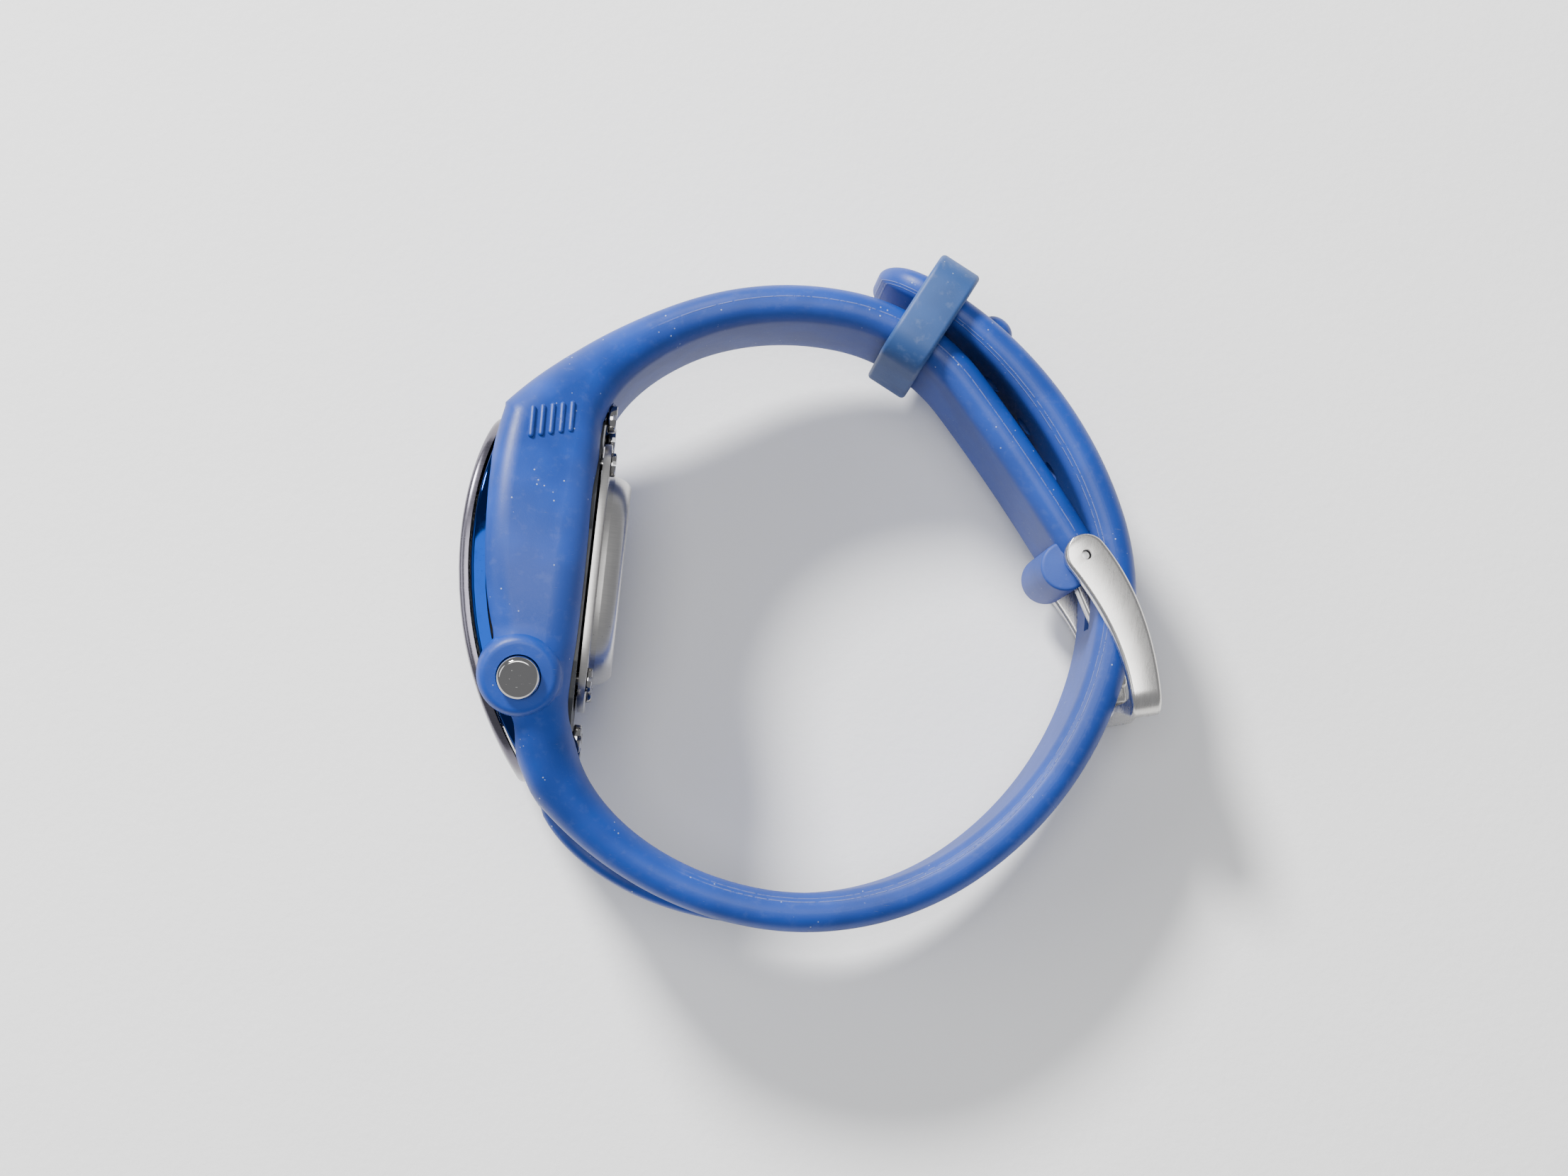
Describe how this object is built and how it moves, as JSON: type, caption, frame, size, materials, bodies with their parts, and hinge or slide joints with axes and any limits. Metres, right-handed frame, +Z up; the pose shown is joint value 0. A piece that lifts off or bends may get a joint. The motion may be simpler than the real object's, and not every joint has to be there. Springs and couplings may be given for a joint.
{
  "type": "digital sports wristwatch",
  "caption": "Buckled digital sports watch on its side: moulded blue strap and case surround, curved bezel, steel caseback, pushers, buckle, tongue and keeper loop.",
  "frame": {"origin": "bottom centre of the bounding box, on the ground that the watch lies on with its 9 o'clock side down", "axes": "+X from the dial towards the buckle, +Y to 12 o'clock, +Z up, near the watch's 3 o'clock direction, which leans 7.7 degrees towards +X at rest"},
  "size_m": [0.0788, 0.0748, 0.0385],
  "materials": {
    "moulded_strap": "moulded polyurethane, soft satin, lightly scuffed",
    "mid_case": "dark glass-filled plastic",
    "chrome_ring": "dark blue mirror plating",
    "bezel": "grey satin metallic",
    "seal_rubber": "black sealing rubber",
    "crystal": "clear polished lens",
    "caseback": "satin stainless steel",
    "screws": "bright steel",
    "display_mask": "matt printed frame",
    "lcd_glass": "grey-green liquid crystal glass",
    "module_plastic": "white moulded plastic",
    "zebra_rubber": "striped conductive rubber",
    "circuit_board": "solder-masked board",
    "coin_cell": "stamped steel",
    "brass_parts": "bright brass",
    "pusher_steel": "mirror-polished steel",
    "spring_wire": "drawn steel",
    "buckle_steel": "satin stainless steel",
    "buckle_pin": "bright steel",
    "keeper_loop": "moulded polyurethane, matt"
  },
  "bodies": {
    "watch": {"moulded_strap": "moulded_strap", "mid_case": "mid_case", "chrome_ring": "chrome_ring", "bezel": "bezel", "crystal_gasket": "seal_rubber", "crystal": "crystal", "caseback": "caseback", "back_gasket": "seal_rubber", "caseback_screw_1": "screws", "caseback_screw_2": "screws", "caseback_screw_3": "screws", "caseback_screw_4": "screws", "strap_screw_1": "screws", "strap_screw_2": "screws", "strap_screw_3": "screws", "strap_screw_4": "screws", "display_mask": "display_mask", "lcd_glass": "lcd_glass", "backlight_panel": "module_plastic", "module_frame": "module_plastic", "zebra_strip_12": "zebra_rubber", "zebra_strip_6": "zebra_rubber", "circuit_board": "circuit_board", "coin_cell": "coin_cell", "battery_clip": "brass_parts", "buzzer_disc": "brass_parts", "buzzer_spring": "brass_parts", "pusher_4_spring": "spring_wire", "pusher_4_o_ring": "seal_rubber", "pusher_8_spring": "spring_wire", "pusher_8_o_ring": "seal_rubber", "pusher_10_spring": "spring_wire", "pusher_10_o_ring": "seal_rubber", "buckle_pin": "buckle_pin"},
    "pusher_4_body": {"pusher_4": "pusher_steel", "pusher_4_circlip": "spring_wire"},
    "pusher_8_body": {"pusher_8": "pusher_steel", "pusher_8_circlip": "spring_wire"},
    "pusher_10_body": {"pusher_10": "pusher_steel", "pusher_10_circlip": "spring_wire"},
    "buckle_body": {"buckle_frame": "buckle_steel"},
    "tongue_body": {"buckle_tongue": "buckle_steel"},
    "keeper_body": {"keeper_loop": "keeper_loop"}
  },
  "joints": [
    {"name": "pusher_4_press", "type": "slide", "parent": "watch", "child": "pusher_4_body", "axis": [-0.1299, 0.2607, -0.9566], "range_m": [0, 0.0008], "stiffness_N_per_m": 800, "springref_m": -0.0006, "deforming": ["pusher_4_spring"]},
    {"name": "pusher_8_press", "type": "slide", "parent": "watch", "child": "pusher_8_body", "axis": [0.1299, 0.2607, 0.9566], "range_m": [0, 0.0008], "stiffness_N_per_m": 800, "springref_m": -0.0006, "deforming": ["pusher_8_spring"]},
    {"name": "pusher_10_press", "type": "slide", "parent": "watch", "child": "pusher_10_body", "axis": [0.1328, -0.1628, 0.9777], "range_m": [0, 0.0008], "stiffness_N_per_m": 800, "springref_m": -0.0006, "deforming": ["pusher_10_spring"]},
    {"name": "buckle_turn", "type": "hinge", "parent": "watch", "child": "buckle_body", "pos_m": [0.02848, 0.00596, 0.01175], "axis": [0.1346, 0, 0.9909], "range_deg": [0, 12]},
    {"name": "tongue_turn", "type": "hinge", "parent": "watch", "child": "tongue_body", "pos_m": [0.02848, 0.00596, 0.01175], "axis": [0.1346, 0, 0.9909], "range_deg": [-1.5, 1.5]},
    {"name": "keeper_slide", "type": "hinge", "parent": "watch", "child": "keeper_body", "pos_m": [-0.00411, 0.00314, 0.01618], "axis": [0.1346, 0, 0.9909], "range_deg": [0, 5.5]}
  ]
}
